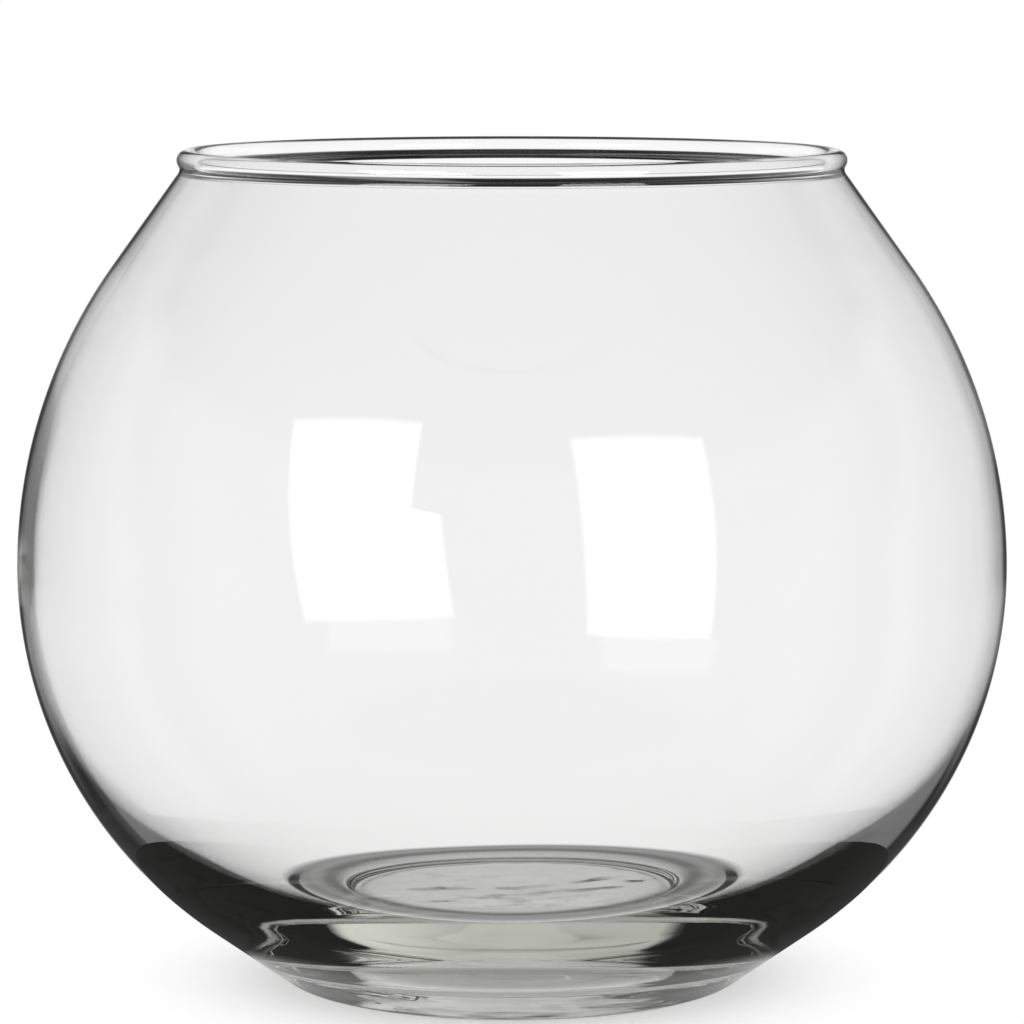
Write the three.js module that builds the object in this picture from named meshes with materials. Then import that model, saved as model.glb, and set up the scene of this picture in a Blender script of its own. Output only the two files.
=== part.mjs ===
// Globe vase in clear glass: a fire-polished rim bead, a thin blown globe, a heavy base and a foot ring.
// Millimetres, +Z up, the vase's axis on Z and its foot on z = 0.
import * as THREE from "three";

// Outside
const globeDiameter = 190;
const vaseHeight = 160;
const equatorHeight = 80;
const shoulderRise = 32; // from the equator up to where the shoulder's straight line would meet the globe's side
const heelDrop = 43.3; // from the equator down to where the heel's straight line would meet the globe's side
const rimDiameter = 128;
const beadDiameter = 3.9;
const beadSeatDepth = 0.3; // how deep the neck's flat top cuts into the bead
const footDiameter = 87.2; // where the heel's straight line would meet the table
const footRounding = 1.3; // along each face of the foot's edge

// Inside
const wallThickness = 2.4;
const innerShoulderRise = 30; // as shoulderRise, for the inner surface
const innerHeelDrop = 39.5; // as heelDrop, for the inner surface
const innerHeelRounding = 33.3; // along each face of the inner heel
const floorHeight = 9.2;
const floorDiameter = 92; // where the inner heel's straight line would meet the floor
const floorRounding = 2; // along each face of the floor's edge

// Underside
const kickDiameter = 61.2; // the hollow's flat ceiling
const kickDepth = 2.1;
const kickSlope = 3.3; // how far the hollow's side runs out on its way down

// Where the thin wall grows out of the base
const seamHeight = 36;

// Facets
const sidesAround = 96;
const arcStep = THREE.MathUtils.degToRad(4);
const beadStep = THREE.MathUtils.degToRad(15);
const samePoint = 1e-6; // points of a section closer than this are one point

// Glass
const tint = { rim: 0xe2e9e6, wall: 0xe6ecea, base: 0xdbe3dd, foot: 0xd5ddd6 };
const glassRoughness = 0.03;
const glassOpacity = 0.35;

const globeRadius = globeDiameter / 2;
const beadRadius = beadDiameter / 2;
const beadCentre = new THREE.Vector2(rimDiameter / 2 - beadRadius, vaseHeight - beadRadius);
const seatAngle = Math.acos(1 - beadSeatDepth / beadRadius); // half the angle that the seat takes from the bead
const seatHalfWidth = beadRadius * Math.sin(seatAngle);
const neckHeight = vaseHeight - beadDiameter + beadSeatDepth;

// An arc's points, its ends and its middle included.
function arc(centre, radius, from, to, step) {
  const pieces = 2 * Math.ceil(Math.abs(to - from) / step / 2);
  return new THREE.ArcCurve(centre.x, centre.y, radius, from, to, to < from).getPoints(pieces);
}

// The arc that rounds a corner, tangent to both straight lines at the same reach from it.
function roundedCorner(before, corner, after, reach) {
  const back = before.clone().sub(corner).normalize();
  const on = after.clone().sub(corner).normalize();
  const half = Math.acos(back.dot(on)) / 2;
  const radius = reach * Math.tan(half);
  const toCentre = back.clone().add(on).setLength(radius / Math.sin(half));
  const centre = corner.clone().add(toCentre);
  const from = corner.clone().addScaledVector(back, reach).sub(centre).angle();
  const to = corner.clone().addScaledVector(on, reach).sub(centre).angle();
  const turn = THREE.MathUtils.euclideanModulo(to - from + Math.PI, 2 * Math.PI) - Math.PI;
  return arc(centre, radius, from, from + turn, arcStep);
}

// A chain of straight lines with rounded corners, each given as [radius, height, reach]. Where two reaches
// are more than the line between them holds, both shrink by the same share.
function roundedLine(corners) {
  const points = corners.map(([radius, height]) => new THREE.Vector2(radius, height));
  const reaches = corners.map(([, , reach]) => reach);
  const share = points.map((point, i) => {
    const wanted = i === 0 ? 0 : reaches[i - 1] + reaches[i];
    return wanted === 0 ? 1 : Math.min(1, point.distanceTo(points[i - 1]) / wanted);
  });
  return points.flatMap((point, i) => {
    if (i === 0 || i === points.length - 1) return [point];
    const reach = reaches[i] * Math.min(share[i], share[i + 1]);
    return roundedCorner(points[i - 1], point, points[i + 1], reach);
  });
}

// The outside as radius and height, from the foot's flat up to the neck.
function outerLine() {
  return roundedLine([
    [kickDiameter / 2 + kickSlope, 0, 0],
    [footDiameter / 2, 0, footRounding],
    [globeRadius, equatorHeight - heelDrop, heelDrop],
    [globeRadius, equatorHeight + shoulderRise, shoulderRise],
    [beadCentre.x + seatHalfWidth, neckHeight, 0],
  ]);
}

// The inside as radius and height, from the neck down to the middle of the floor.
function innerLine() {
  const innerRadius = globeRadius - wallThickness;
  return roundedLine([
    [beadCentre.x - seatHalfWidth, neckHeight, 0],
    [innerRadius, equatorHeight + innerShoulderRise, innerShoulderRise],
    [innerRadius, equatorHeight - innerHeelDrop, innerHeelRounding],
    [floorDiameter / 2, floorHeight, floorRounding],
    [0, floorHeight, 0],
  ]);
}

// The stretch of a line between two heights, with a point on each height that it crosses.
function between(line, low, high) {
  const kept = [];
  line.forEach((point, i) => {
    const last = line[i - 1];
    const crossed = [low, high].filter((level) => last && (last.y - level) * (point.y - level) < 0);
    crossed.sort((a, b) => Math.abs(a - last.y) - Math.abs(b - last.y));
    crossed.forEach((level) => kept.push(last.clone().lerp(point, (level - last.y) / (point.y - last.y))));
    if (point.y >= low && point.y <= high) kept.push(point);
  });
  return kept;
}

// A round body from its section, which runs up the outside and down the inside.
function turned(name, section, color) {
  const apart = section.filter((point, i) => i === 0 || point.distanceTo(section[i - 1]) > samePoint);
  const geometry = new THREE.LatheGeometry(apart, sidesAround);
  geometry.rotateX(Math.PI / 2);
  const finish = { color, roughness: glassRoughness, transparent: true, opacity: glassOpacity };
  const mesh = new THREE.Mesh(geometry, new THREE.MeshStandardMaterial(finish));
  mesh.name = name;
  return mesh;
}

function footRing() {
  const outside = between(outerLine(), 0, kickDepth);
  const ceilingEdge = new THREE.Vector2(kickDiameter / 2, kickDepth);
  return turned("foot_ring", [...outside, ceilingEdge, outside[0]], tint.foot);
}

function heavyBase() {
  const underside = new THREE.Vector2(0, kickDepth);
  const outside = between(outerLine(), kickDepth, seamHeight);
  const inside = between(innerLine(), floorHeight, seamHeight);
  return turned("heavy_base", [underside, ...outside, ...inside], tint.base);
}

function globeWall() {
  const outside = between(outerLine(), seamHeight, neckHeight);
  const inside = between(innerLine(), seamHeight, neckHeight);
  return turned("globe_wall", [...outside, ...inside, outside[0]], tint.wall);
}

function rimBead() {
  const seat = -Math.PI / 2;
  const round = arc(beadCentre, beadRadius, seat + seatAngle, seat - seatAngle + 2 * Math.PI, beadStep);
  return turned("rim_bead", [...round, round[0]], tint.rim);
}

const vase = new THREE.Group();
vase.name = "globe_vase";
vase.add(footRing(), heavyBase(), globeWall(), rimBead());

export default vase;
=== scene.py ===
import math

import bpy
import numpy as np
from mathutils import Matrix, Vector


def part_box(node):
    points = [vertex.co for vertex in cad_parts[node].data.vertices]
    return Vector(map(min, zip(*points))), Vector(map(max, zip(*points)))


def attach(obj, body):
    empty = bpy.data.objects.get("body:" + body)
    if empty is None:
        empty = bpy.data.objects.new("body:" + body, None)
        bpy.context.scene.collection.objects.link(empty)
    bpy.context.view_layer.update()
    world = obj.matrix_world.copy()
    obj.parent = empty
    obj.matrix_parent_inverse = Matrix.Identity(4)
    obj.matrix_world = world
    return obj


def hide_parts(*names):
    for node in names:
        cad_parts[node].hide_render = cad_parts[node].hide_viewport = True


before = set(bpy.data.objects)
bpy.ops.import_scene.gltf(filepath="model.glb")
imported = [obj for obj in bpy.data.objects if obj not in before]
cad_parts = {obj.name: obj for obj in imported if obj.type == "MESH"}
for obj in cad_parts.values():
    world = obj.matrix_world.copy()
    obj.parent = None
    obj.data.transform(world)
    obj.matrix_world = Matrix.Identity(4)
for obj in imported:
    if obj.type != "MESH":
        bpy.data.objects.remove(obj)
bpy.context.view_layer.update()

scene = bpy.context.scene


def linear(hexColour):
    # sRGB hex to linear red, green, blue and a full alpha
    c = np.array([int(hexColour[i:i + 2], 16) for i in (1, 3, 5)]) / 255
    return (*np.where(c <= 0.04045, c / 12.92, ((c + 0.055) / 1.055) ** 2.4).tolist(), 1.0)


def addNode(tree, kind, links=None, **settings):
    # one node with its settings; links maps a socket to a value or to the socket that feeds it
    made = tree.nodes.new("ShaderNode" + kind)
    for name, value in settings.items():
        setattr(made, name, value)
    for socket, value in (links or {}).items():
        if isinstance(value, bpy.types.NodeSocket):
            tree.links.new(value, made.inputs[socket])
        else:
            made.inputs[socket].default_value = value
    return made


def maths(tree, operation, a, b=0.0):
    # the result of one Math node
    return addNode(tree, "Math", {0: a, 1: b}, operation=operation).outputs[0]


def mapped(tree, value, span, low=0.0, high=1.0):
    # the value carried from its span to low..high, and held at both ends
    links = {"Value": value, "From Min": span[0], "From Max": span[1], "To Min": low, "To Max": high}
    return addNode(tree, "MapRange", links).outputs["Result"]


def blended(tree, share, a, b):
    # a where the share is 0, b where it is 1
    return addNode(tree, "Mix", {"Factor": share, "A": a, "B": b}).outputs[0]


def deeper(tree, depth, count):
    # 1 where a light path's depth, a whole number, is more than count
    return maths(tree, "GREATER_THAN", depth, count + 0.5)


def atMost(tree, depth, count):
    # 1 where a light path's depth is no more than count
    return maths(tree, "LESS_THAN", depth, count + 0.5)


# The vase: a globe of soda-lime glass, blown in a mould, cut off at the neck and fire-polished to a bead.
# Its four CAD zones are one piece of glass, so one surface stands for all of them. Sizes in millimetres.
vase = {
    "globeRadius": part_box("globe_wall")[1].x * 1000,
    "rimRadius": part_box("rim_bead")[1].x * 1000,
    "height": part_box("rim_bead")[1].z * 1000,
    "equatorHeight": 80.0,
    "shoulderRise": 32.0,        # from the equator to where the shoulder's line would meet the side
    "heelDrop": 43.3,
    "footRadius": 43.6,
    "footRounding": 1.3,
    "wall": 2.4,
    "innerShoulderRise": 30.0,
    "innerShoulderReach": 28.5,  # how far the inner shoulder's curve runs from its corner
    "innerHeelDrop": 39.5,
    "innerHeelReach": 33.3,
    "floorHeight": 9.2,
    "floorCrown": 0.4,           # how far the floor rises towards its middle
    "floorRadius": 46.0,
    "floorRounding": 2.0,
    "kickRadius": 30.6,          # the hollow under the base
    "kickDepth": 2.1,
    "kickSag": 1.1,              # how far the hollow's ceiling sinks towards its middle
    "kickSlope": 3.3,
    "kickRounding": 4.0,
    "ringRounding": 1.7,
    "beadRadius": 1.97,
    "beadSeat": 0.32,
    "beadFilletOut": 1.3,
    "beadFilletIn": 3.1,
    "wallShift": 0.4,            # the blown wall is thinner on the right
    "shiftTop": (42.0, 62.0),    # under the rim: where the shift begins and where it is full
    "shiftFoot": (15.0, 45.0),   # the same from the table up
    "shiftFloor": (12.0, 45.0),  # and a share of it already on the floor, from the axis outwards
    "shiftFloorShare": 0.2,
    "waveOut": 0.05,             # slow ripple of the mould-blown skin
    "waveIn": 0.08,              # the free inner skin ripples more
    "waves": ((3, 0.021, 0.6, 0.625), (5, -0.034, 2.1, 0.4375), (2, 0.052, 4.0, 0.375),
              (9, 0.06, 1.0, 0.25)),  # each: times round, radians per millimetre up, phase, share
    "waveTop": (6.0, 26.0),      # under the rim
    "waveFoot": (30.0, 60.0),    # above the table
    "seamHeight": 4.2,           # parting line of the mould's base plate
    "seamWidth": 1.2,
    "seamProud": 0.06,
    "seamSpan": (1.0, 12.0),
    "chillRelief": 0.17,         # mottled patch in the hollow's ceiling, where the hot gob met the cold plate
    "chillSize": 9.0,
    "chillSeed": 7,
    "chillAt": (21.0, 0.0),
    "chillSpread": (8.0, 8.0),
    "chillElsewhere": 0.25,      # share of the relief outside the patch
    "chillFade": (1.0, 7.0),     # in from the hollow's edge: where the marks begin and where they are full
    "ringRelief": 0.02,          # faint rings that the turned plate left there
    "ringPitch": 6.0,
    "rows": 330,
    "rowBend": 0.16,             # radians that the section turns from row to row
    "rowSpacing": (0.28, 2.2),
    "sides": 288,
}


def smoothStep(x, low, high):
    t = np.clip((x - low) / (high - low), 0, 1)
    return t * t * (3 - 2 * t)


def arc(middle, start, turn, count=160):
    # points turned about the middle, from start on through the angle turn
    t = np.linspace(0, turn, count)
    dx, dz = start - middle
    return middle + np.stack([dx * np.cos(t) - dz * np.sin(t), dx * np.sin(t) + dz * np.cos(t)], 1)


def angleOf(a, b):
    # signed angle from a to b, within half a turn
    return math.atan2(a[0] * b[1] - a[1] * b[0], a @ b)


def roundedLine(corners):
    # straight lines through corners (radius, height, reach); a corner gives way to the arc that touches both
    # of its lines at its reach, and its middle lies on the corner's bisector
    points = np.array([c[:2] for c in corners], float)
    parts = [points[:1]]
    for i in range(1, len(points) - 1):
        back, on = points[i - 1] - points[i], points[i + 1] - points[i]
        back, on = back / np.linalg.norm(back), on / np.linalg.norm(on)
        half = math.acos(back @ on) / 2
        bisector = (back + on) / np.linalg.norm(back + on)
        middle = points[i] + bisector * corners[i][2] / math.cos(half)
        start, end = points[i] + back * corners[i][2], points[i] + on * corners[i][2]
        parts.append(arc(middle, start, angleOf(start - middle, end - middle)))
    return np.concatenate([*parts, points[-1:]])


def beadFillet(low, high, bead, beadRadius, fillet, side):
    # the circle that touches the wall's line on one side and the bead from below: its middle lies one fillet
    # off the line and one bead radius and a fillet off the bead's middle
    along = (high - low) / np.linalg.norm(high - low)
    across = side * np.array([along[1], -along[0]])
    lift, out = (bead - low) @ along, (bead - low) @ across
    drop = math.sqrt((beadRadius + fillet) ** 2 - (fillet - out) ** 2)
    middle = low + along * (lift - drop) + across * fillet
    return middle, middle - across * fillet, bead + (middle - bead) * beadRadius / (beadRadius + fillet)


def vaseProfile(v):
    # the closed section as radius and height: underside, outside, bead, inside, floor
    side, inner = v["globeRadius"], v["globeRadius"] - v["wall"]
    bead = np.array([v["rimRadius"] - v["beadRadius"], v["height"] - v["beadRadius"]])
    seat = math.sqrt(v["beadRadius"] ** 2 - (v["beadRadius"] - v["beadSeat"]) ** 2)
    neck = v["height"] - 2 * v["beadRadius"] + v["beadSeat"]
    shoulder = np.array([side, v["equatorHeight"] + v["shoulderRise"]])
    innerShoulder = np.array([inner, v["equatorHeight"] + v["innerShoulderRise"]])
    outFillet, outWall, outBead = beadFillet(
        shoulder, np.array([bead[0] + seat, neck]), bead, v["beadRadius"], v["beadFilletOut"], 1)
    inFillet, inWall, inBead = beadFillet(
        innerShoulder, np.array([bead[0] - seat, neck]), bead, v["beadRadius"], v["beadFilletIn"], -1)
    outside = roundedLine([
        (0, v["kickDepth"] - v["kickSag"], 0),
        (v["kickRadius"], v["kickDepth"], v["kickRounding"]),
        (v["kickRadius"] + v["kickSlope"], 0, v["ringRounding"]),
        (v["footRadius"], 0, v["footRounding"]),
        (side, v["equatorHeight"] - v["heelDrop"], v["heelDrop"]),
        (*shoulder, v["shoulderRise"]),
        (*outWall, 0),
    ])
    inside = roundedLine([
        (*inWall, 0),
        (*innerShoulder, v["innerShoulderReach"]),
        (inner, v["equatorHeight"] - v["innerHeelDrop"], v["innerHeelReach"]),
        (v["floorRadius"], v["floorHeight"], v["floorRounding"]),
        (0, v["floorHeight"] + v["floorCrown"], 0),
    ])
    rim = np.concatenate([
        arc(outFillet, outWall, angleOf(outWall - outFillet, outBead - outFillet)),
        arc(bead, outBead, angleOf(outBead - bead, inBead - bead) % (2 * math.pi)),
        arc(inFillet, inBead, angleOf(inBead - inFillet, inWall - inFillet)),
    ])
    return np.concatenate([outside, rim, inside])


def evenedRows(line, v, samples=20001, blurred=121, tiny=1e-6):
    # the line walked in steps that shorten where it curves: each stretch counts as its length over its spacing,
    # and the rows split that count evenly
    line = line[np.concatenate([[True], np.linalg.norm(np.diff(line, axis=0), axis=1) > tiny])]
    walked = np.concatenate([[0], np.cumsum(np.linalg.norm(np.diff(line, axis=0), axis=1))])
    fine = np.linspace(0, walked[-1], samples)
    track = np.stack([np.interp(fine, walked, line[:, i]) for i in (0, 1)], 1)
    heading = np.unwrap(np.arctan2(*np.gradient(track, axis=0).T[::-1]))
    blur = np.hanning(blurred) / np.hanning(blurred).sum()
    bend = np.convolve(np.abs(np.gradient(heading, fine)), blur, mode="same")
    spacing = np.clip(v["rowBend"] / np.maximum(bend, tiny), *v["rowSpacing"])
    count = np.concatenate([[0], np.cumsum(np.diff(fine) / spacing[1:])])
    at = np.interp(np.linspace(0, count[-1], v["rows"]), count, fine)
    return np.stack([np.interp(at, fine, track[:, i]) for i in (0, 1)], 1)


def lumps(x, y, size, seed, waves=28, spread=(0.7, 1.6)):
    # irregular relief of about unit height: plane waves of about one size in random directions and phases
    random = np.random.default_rng(seed)
    turn, phase = random.uniform(0, 2 * np.pi, (2, waves))
    rate = 2 * np.pi / (size * random.uniform(*spread, waves))
    swell = np.zeros(np.broadcast(x, y).shape)
    for t, p, k in zip(turn, phase, rate):
        swell += np.sin(k * (x * np.cos(t) + y * np.sin(t)) + p)
    return swell / math.sqrt(waves / 2)


def vaseSurface(v):
    # the section turned about Z, then moved along its own normal by the ripples, the mould seam and the chill
    # marks; the inside is also shifted sideways, which makes the blown wall thinner on one side
    section = evenedRows(vaseProfile(v), v)
    slope = np.gradient(section, axis=0)
    normal = np.stack([slope[:, 1], -slope[:, 0]], 1) / np.linalg.norm(slope, axis=1)[:, None]
    r, z = section[:, :1], section[:, 1:]
    turn = np.linspace(0, 2 * np.pi, v["sides"], endpoint=False)[None, :]
    x, y = r * np.cos(turn), r * np.sin(turn)
    underRim = v["height"] - z
    isInside = (np.arange(len(section)) > np.argmax(section[:, 1]))[:, None]

    ripple = sum(share * np.sin(times * turn + climb * z + phase) for times, climb, phase, share in v["waves"])
    onGlobe = smoothStep(underRim, *v["waveTop"]) * smoothStep(z, *v["waveFoot"])
    rise = np.where(isInside, v["waveIn"], v["waveOut"]) * onGlobe * ripple

    isHeel = ~isInside & (z > v["seamSpan"][0]) & (z < v["seamSpan"][1])
    rise += np.where(isHeel, v["seamProud"] * np.exp(-((z - v["seamHeight"]) / v["seamWidth"]) ** 2), 0)

    inCeiling = np.where(isInside, 0, smoothStep(v["kickRadius"] - r, *v["chillFade"]))
    (atX, atY), (spreadX, spreadY) = v["chillAt"], v["chillSpread"]
    patch = np.exp(-((x - atX) / spreadX) ** 2 - ((y - atY) / spreadY) ** 2)
    chill = v["chillRelief"] * (v["chillElsewhere"] + patch) * lumps(x, y, v["chillSize"], v["chillSeed"])
    rise += inCeiling * (chill + v["ringRelief"] * np.sin(2 * np.pi * r / v["ringPitch"]))

    r2, z2 = r + rise * normal[:, :1], z + rise * normal[:, 1:]
    low = v["shiftFloorShare"]
    shifted = low * smoothStep(r, *v["shiftFloor"]) + (1 - low) * smoothStep(z, *v["shiftFoot"])
    shifted = v["wallShift"] * smoothStep(underRim, *v["shiftTop"]) * shifted
    x = r2 * np.cos(turn) + np.where(isInside, shifted, 0)
    return np.stack([x, r2 * np.sin(turn), np.broadcast_to(z2, x.shape)], -1) / 1000


def gridMesh(name, grid):
    # rows of a round grid joined by quads; the first and last rows lie on the axis and close as one point each
    rows, sides = grid.shape[:2]
    points = np.concatenate([grid[0].mean(0)[None], grid[1:-1].reshape(-1, 3), grid[-1].mean(0)[None]])
    ring = 1 + np.arange((rows - 2) * sides).reshape(rows - 2, sides)
    beside = np.roll(ring, -1, 1)
    quads = np.stack([ring[:-1], beside[:-1], beside[1:], ring[1:]], -1).reshape(-1, 4)
    first = np.stack([np.zeros(sides, int), beside[0], ring[0]], -1)
    last = np.stack([np.full(sides, len(points) - 1), ring[-1], beside[-1]], -1)
    mesh = bpy.data.meshes.new(name)
    mesh.from_pydata(points.tolist(), [], quads.tolist() + first.tolist() + last.tolist())
    mesh.polygons.foreach_set("use_smooth", np.ones(len(mesh.polygons), bool))
    mesh.update()
    made = bpy.data.objects.new(name, mesh)
    scene.collection.objects.link(made)
    return made


# The glass. Sizes in millimetres.
glass = {
    "tint": "#ffffff",
    "ior": 1.52,
    "absorbColour": "#fbfeed",
    "absorbDensity": 5.0,        # per metre
    "rippleSize": 14.0,          # between the faint ripples that blowing leaves
    "rippleDepth": 0.002,
    "smearSize": 30.0,           # across a wiped patch
    "smearFrom": (0.5, 0.75),    # of the noise: where a patch begins and where it is full
    "smearRoughness": 0.006,
    "scuffHeight": (0.2, 0.8),
    "scuffRoughness": 0.12,      # the ring that the vase stands and slides on
    "chillBlotch": 4.0,          # across a frosty blotch of the hollow's ceiling
    "chillFrom": (0.5, 0.62),    # of the noise
    "chillReach": (22.0, 29.0),  # from the axis: where the blotches fade and where they end
    "chillTop": 4.0,             # the hollow lies below this height
    "chillRoughness": 0.22,
}


def sodaLimeGlass(g):
    # soda-lime glass, mould-blown and fire-polished: clear and sharp, faintly green where it is thick, with slow
    # ripples, wiped patches that catch light, a scuffed ring under the foot and a frosty hollow
    made = bpy.data.materials.new("fire_polished_soda_lime_glass")
    made.use_nodes = True
    tree = made.node_tree
    shader, output = tree.nodes["Principled BSDF"], tree.nodes["Material Output"]
    shader.inputs["Base Color"].default_value = linear(g["tint"])
    shader.inputs["IOR"].default_value = g["ior"]
    shader.inputs["Transmission Weight"].default_value = 1.0
    place = addNode(tree, "TexCoord").outputs["Object"]

    def noise(size, detail):
        return addNode(tree, "TexNoise", {"Vector": place, "Scale": 1000 / size, "Detail": detail}).outputs["Fac"]

    def metres(span):
        return [x / 1000 for x in span]

    bump = addNode(tree, "Bump", {"Height": noise(g["rippleSize"], 1.0), "Strength": 1.0,
                                  "Distance": g["rippleDepth"] / 1000})
    tree.links.new(bump.outputs["Normal"], shader.inputs["Normal"])
    wiped = mapped(tree, noise(g["smearSize"], 4.0), g["smearFrom"], 0.0, g["smearRoughness"])
    height = addNode(tree, "SeparateXYZ", {"Vector": place}).outputs["Z"]
    scuffed = mapped(tree, height, metres(g["scuffHeight"]), g["scuffRoughness"], 0.0)
    flat = addNode(tree, "VectorMath", {0: place, 1: (1, 1, 0)}, operation="MULTIPLY").outputs["Vector"]
    reach = addNode(tree, "VectorMath", {0: flat}, operation="LENGTH").outputs["Value"]
    inHollow = maths(tree, "MULTIPLY", mapped(tree, reach, metres(g["chillReach"]), 1.0, 0.0),
                     maths(tree, "LESS_THAN", height, g["chillTop"] / 1000))
    blotched = mapped(tree, noise(g["chillBlotch"], 3.0), g["chillFrom"], 0.0, g["chillRoughness"])
    frosted = maths(tree, "MULTIPLY", blotched, inHollow)
    rough = maths(tree, "ADD", maths(tree, "ADD", wiped, scuffed), frosted)
    tree.links.new(rough, shader.inputs["Roughness"])
    body = addNode(tree, "VolumeAbsorption", {"Color": linear(g["absorbColour"]), "Density": g["absorbDensity"]})
    tree.links.new(body.outputs["Volume"], output.inputs["Volume"])
    return made


# The studio that the glass shows. Brightness is given as (degrees, level) pairs: turns from straight behind the
# vase, to the right where they are more than 0, and lifts from the horizon.
studio = {
    "flatTurn": 22.5,            # half the turn from one white flat to the next
    "flats": ((0, 1), (20.5, 1), (21.5, 0.05)),
    "flatsLift": ((-42, 0.02), (-34, 1), (9, 1), (13, 0.01)),
    "gap": ((-5, 0), (-4.6, 1), (-1.8, 1), (-1.4, 0)),
    "gapLift": ((10, 0), (13, 1), (40, 1), (45, 0)),
    "gapLevel": 0.22,            # a grey gap in the black above the flats, which breaks the near rim's dark band
    "mirrored": ((0, 1), (6, 1), (10, 0.2), (15, 0.04), (19, 0.1), (22, 0.34), (25, 0.46), (30, 0.57), (37, 0.78),
                 (42, 0.92), (51, 0.86), (70, 0.75), (80, 0.8), (90, 0.45), (110, 0.47), (125, 0.33), (180, 0.25)),
    "mirroredLift": ((-60, 0.6), (-40, 1), (24, 1), (30, 0.35), (60, 0.1)),
    "mirroredLean": 0.8,         # the sides lean outwards by this much of their lift
    "leanTop": 20.0,             # degrees of lift that the lean ends at
    "card": ((-35.6, 0), (-35, 1), (-11, 1), (-10, 0)),
    "cardLift": ((-2, 1), (2, 0)),
    "cardLevel": 0.23,           # a grey card low on the left, mirrored in the glass
    "shade": ((-33, 0), (-29, 1), (25.5, 1), (28.5, 0)),
    "shadeLift": ((-19, 1), (-15, 0)),
    "shadeLevel": 0.08,          # the dark table edge behind the vase, mirrored in its heel
    "farWall": 0.3,              # mirrored by the far side of the globe: an even grey room
    "deep": ((-27, 0.012), (-24, 0.5), (-8, 0.54), (8, 0.52), (14, 0.62), (22, 0.74), (27.5, 0.72), (30.5, 0.012)),
    "deepLift": ((-4, 0.05), (5, 1)),
}


def levelAt(tree, at, stops):
    # brightness by degrees or by millimetres: straight lines between the stops, which lie within 180 either way
    made = addNode(tree, "ValToRGB", {"Fac": mapped(tree, at, (-180.0, 180.0))})
    ramp = made.color_ramp.elements
    ramp.remove(ramp[1])
    for i, (place, level) in enumerate(stops):
        stop = ramp[0] if i == 0 else ramp.new(0.5 + place / 360)
        stop.position, stop.color = 0.5 + place / 360, (level, level, level, 1)
    return made.outputs["Color"]


def glassStudio(s):
    # even white light for matt surfaces and the camera; straight through the glass, white flats with black edges,
    # which draw its outline; mirrored once in the glass, a bright middle, pale sides and a dim room in front;
    # mirrored more often, deep in the base, one wide flat
    world = bpy.data.worlds.new("glass_studio")
    scene.world = world
    world.use_nodes = True
    tree = world.node_tree
    tree.nodes.clear()
    path = addNode(tree, "LightPath").outputs
    toward = addNode(tree, "SeparateXYZ", {0: addNode(tree, "TexCoord").outputs["Generated"]}).outputs
    lift = maths(tree, "DEGREES", maths(tree, "ARCSINE", toward["Z"]))
    turn = maths(tree, "DEGREES", maths(tree, "ARCTAN2", toward["X"], toward["Y"]))
    away = maths(tree, "ABSOLUTE", turn)

    def area(name, turned):
        # the brightness of one area: its level by turn times its level by lift
        return maths(tree, "MULTIPLY", levelAt(tree, turned, s[name]), levelAt(tree, lift, s[name + "Lift"]))

    flats = area("flats", maths(tree, "PINGPONG", away, s["flatTurn"]))
    straight = maths(tree, "MAXIMUM", flats, maths(tree, "MULTIPLY", area("gap", turn), s["gapLevel"]))
    lean = mapped(tree, lift, (0.0, s["leanTop"]), 0.0, s["leanTop"] * s["mirroredLean"])
    mirrored = area("mirrored", maths(tree, "ADD", away, lean))
    mirrored = blended(tree, area("card", turn), mirrored, maths(tree, "MINIMUM", mirrored, s["cardLevel"]))
    mirrored = blended(tree, area("shade", turn), mirrored, s["shadeLevel"])
    mirrored = blended(tree, deeper(tree, path["Transmission Depth"], 3), mirrored, s["farWall"])
    seen = blended(tree, deeper(tree, path["Glossy Depth"], 0), straight, mirrored)
    seen = blended(tree, deeper(tree, path["Glossy Depth"], 1), seen, area("deep", turn))
    sharp = maths(tree, "MAXIMUM", path["Is Glossy Ray"], path["Is Transmission Ray"])
    sharp = maths(tree, "MULTIPLY", sharp, atMost(tree, path["Diffuse Depth"], 0))
    level = blended(tree, sharp, 1.0, seen)
    white = addNode(tree, "Background", {"Color": (1, 1, 1, 1), "Strength": level}).outputs[0]
    addNode(tree, "OutputWorld", {"Surface": white})


# The floor, in metres. What the glass shows of it is given as (millimetres, level) pairs.
floor = {
    "colour": "#fbfbfa",
    "clear": 0.02,               # it fades into the white backdrop from here
    "faded": 0.078,
    "end": 0.1,
    "drop": 0.0002,              # a hair under the foot
    "sides": 128,
    "paintedShadowBack": 0.0095,          # the painted shadow under the base is centred this far behind its middle
    # below: seen through the glass, light grey painted shade under the base and a dark ring of painted shadow under
    # the foot ring, white further out
    "below": ((0, 0.73), (24, 0.71), (31, 0.66), (34, 0.48), (36.5, 0.12), (38.5, 0.14), (40, 0.36), (43, 0.25),
              (46, 0.6), (50, 1)),
    "mirrored": ((0, 0.55), (24, 0.57), (30, 0.49), (38, 0.38), (43, 0.3), (46, 0.6), (51, 0.6), (54, 0.06),
                 (110, 0.05)),
}


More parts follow.
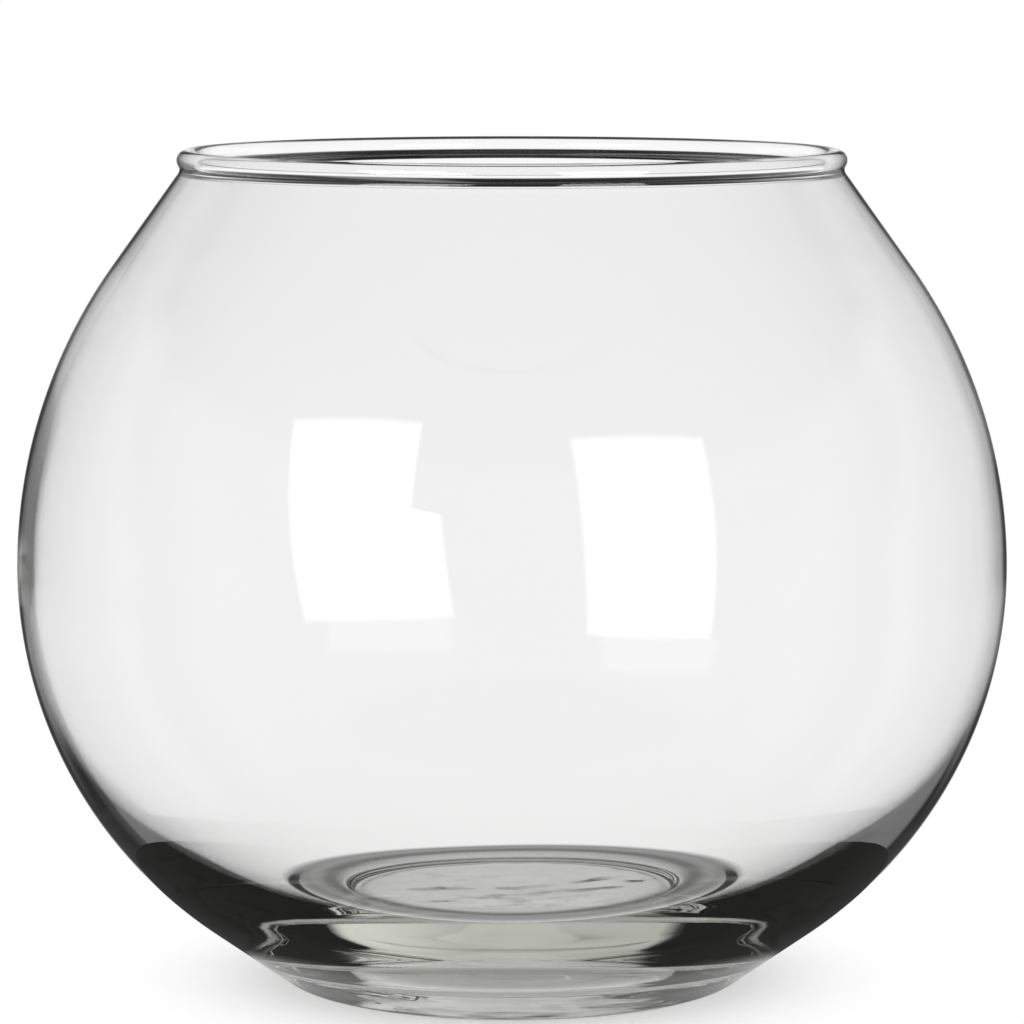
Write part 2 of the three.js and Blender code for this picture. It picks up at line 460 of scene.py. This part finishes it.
def paleFloor(f, farWall):
    # a matt pale sweep that keeps the vase's shadow and fades into the backdrop; seen through the glass it glows
    # pale with a painted grey shadow under the base, darkest under the foot ring, and mirrored in the glass it
    # darkens outwards
    turn = np.linspace(0, 2 * np.pi, f["sides"], endpoint=False)
    points = np.stack([f["end"] * np.cos(turn), f["end"] * np.sin(turn), np.full(f["sides"], -f["drop"])], 1)
    mesh = bpy.data.meshes.new("floor")
    mesh.from_pydata(points.tolist(), [], [list(range(f["sides"]))])
    disc = bpy.data.objects.new("floor", mesh)
    scene.collection.objects.link(disc)
    made = bpy.data.materials.new("matt_pale_paper_and_painted_shadow")
    made.use_nodes = True
    made.cycles.emission_sampling = "NONE"
    tree = made.node_tree
    tree.nodes.clear()
    path = addNode(tree, "LightPath").outputs
    place = addNode(tree, "TexCoord").outputs["Object"]
    reach = addNode(tree, "VectorMath", {0: place}, operation="LENGTH").outputs["Value"]
    fromPaintedShadow = addNode(tree, "VectorMath", {0: place, 1: (0, f["paintedShadowBack"], 0)}, operation="DISTANCE").outputs["Value"]

    paper = addNode(tree, "BsdfDiffuse", {"Color": linear(f["colour"])}).outputs["BSDF"]
    backdrop = addNode(tree, "Emission", {"Strength": 1.0}).outputs["Emission"]
    fade = addNode(tree, "MapRange", {"Value": reach, "From Min": f["clear"], "From Max": f["faded"]},
                   interpolation_type="SMOOTHSTEP").outputs["Result"]
    bare = addNode(tree, "MixShader", {0: fade, 1: paper, 2: backdrop}).outputs["Shader"]

    # painted shadow under the base, as seen through the glass, darkest in a ring under the foot
    below = levelAt(tree, maths(tree, "MULTIPLY", fromPaintedShadow, 1000.0), f["below"])
    mirrored = levelAt(tree, maths(tree, "MULTIPLY", reach, 1000.0), f["mirrored"])
    far = maths(tree, "MULTIPLY", deeper(tree, path["Transmission Depth"], 3), atMost(tree, path["Glossy Depth"], 1))
    mirrored = blended(tree, far, mirrored, farWall)
    level = blended(tree, deeper(tree, path["Glossy Depth"], 0), below, mirrored)
    # the glass sees the floor as an emission of these levels, painted shadow included, not as lit paper
    inGlass = addNode(tree, "Emission", {"Strength": level}).outputs["Emission"]
    sharp = maths(tree, "MAXIMUM", path["Is Glossy Ray"], path["Is Transmission Ray"])
    shown = addNode(tree, "MixShader", {0: sharp, 1: bare, 2: inGlass}).outputs["Shader"]
    addNode(tree, "OutputMaterial", {"Surface": shown})
    mesh.materials.append(made)


# The lamps in front, and a dim skirt under each. Corners are (turn, lift) in degrees, seen from the middle of the
# vase, with turns from the camera's side.
lamps = {
    "distance": 1.3,             # metres
    "middle": 0.09,              # metres: the height that the corners are seen from
    "border": 1.1,               # degrees that a lamp's glow fades over, inside and outside its edge
    "leftBox": ((-56, 30), (-23, 34), (-22.5, 17), (-16, 16), (-12.5, -4), (-45, -6)),
    "rightBox": ((15, 31), (47, 28), (43, -10), (16.5, -8)),
    "boxLevel": 6.0,
    "leftSkirt": ((-40, -6.5), (-12.5, -4.5), (-12.5, -12), (-40, -13)),
    "rightSkirt": ((19, -8.5), (46, -10.5), (44, -18), (20, -17)),
    "skirtLevel": 1.3,
}


def softbox(name, corners, level, s):
    # a lamp whose glow is full on an inner ring of corners and fades to nothing on an outer one, both scaled about
    # its middle; only its reflection in the outer skin shows
    corners = np.array(corners, float)
    count = len(corners)
    middle = (corners.max(0) + corners.min(0)) / 2
    border = s["border"] / (corners.max(0) - middle)
    rings = np.concatenate([middle + (corners - middle) * (1 - border), middle + (corners - middle) * (1 + border)])
    turn, lift = np.radians(rings).T
    points = np.stack([np.sin(turn) * np.cos(lift), -np.cos(turn) * np.cos(lift), np.sin(lift)], 1)
    sides = [[i, (i + 1) % count, count + (i + 1) % count, count + i] for i in range(count)]
    mesh = bpy.data.meshes.new(name)
    mesh.from_pydata((points * s["distance"] + [0, 0, s["middle"]]).tolist(), [], [list(range(count))] + sides)
    mesh.attributes.new("glow", "FLOAT", "POINT").data.foreach_set("value", [1.0] * count + [0.0] * count)
    made = bpy.data.objects.new(name, mesh)
    scene.collection.objects.link(made)
    made.visible_camera = made.visible_diffuse = made.visible_shadow = False
    lamp = bpy.data.materials.new(name + "_lamp")
    lamp.use_nodes = True
    lamp.cycles.emission_sampling = "NONE"
    tree = lamp.node_tree
    tree.nodes.clear()
    outerSkin = atMost(tree, addNode(tree, "LightPath").outputs["Transmission Depth"], 0)
    fade = addNode(tree, "Attribute", attribute_name="glow").outputs["Fac"]
    clear = addNode(tree, "BsdfTransparent").outputs["BSDF"]
    glow = addNode(tree, "Emission", {"Strength": level}).outputs["Emission"]
    shown = addNode(tree, "MixShader", {0: maths(tree, "MULTIPLY", outerSkin, fade), 1: clear, 2: glow})
    addNode(tree, "OutputMaterial", {"Surface": shown.outputs["Shader"]})
    mesh.materials.append(lamp)


# The camera stands where the ellipses of the photograph's rim, equator and foot put it.
view = {
    "focalPixels": 4828.3,       # focal length, in pixels of a picture this wide
    "pictureWidth": 1024,
    "sensorWidth": 36,           # millimetres
    "back": 0.924,               # metres
    "height": 0.1989,
    "lookDown": 6.711,           # degrees
}
camera = bpy.data.objects.new("camera", bpy.data.cameras.new("camera"))
camera.data.sensor_width = view["sensorWidth"]
camera.data.lens = view["focalPixels"] / view["pictureWidth"] * view["sensorWidth"]
camera.location = (0, -view["back"], view["height"])
camera.rotation_euler = (math.radians(90 - view["lookDown"]), 0, 0)
scene.collection.objects.link(camera)
scene.camera = camera

vaseGlass = gridMesh("vase_glass", vaseSurface(vase))
vaseGlass.data.materials.append(sodaLimeGlass(glass))
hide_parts("rim_bead", "globe_wall", "heavy_base", "foot_ring")
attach(vaseGlass, "root")
print("vase glass:", len(vaseGlass.data.polygons), "faces")

paleFloor(floor, studio["farWall"])
glassStudio(studio)
for side in ("left", "right"):
    softbox("softbox_" + side, lamps[side + "Box"], lamps["boxLevel"], lamps)
    softbox("skirt_" + side, lamps[side + "Skirt"], lamps["skirtLevel"], lamps)
print("studio ready")

scene.view_settings.view_transform = "Standard"
scene.cycles.max_bounces = 32            # light is mirrored many times in the thick base
scene.cycles.glossy_bounces = 24
scene.cycles.transmission_bounces = 24
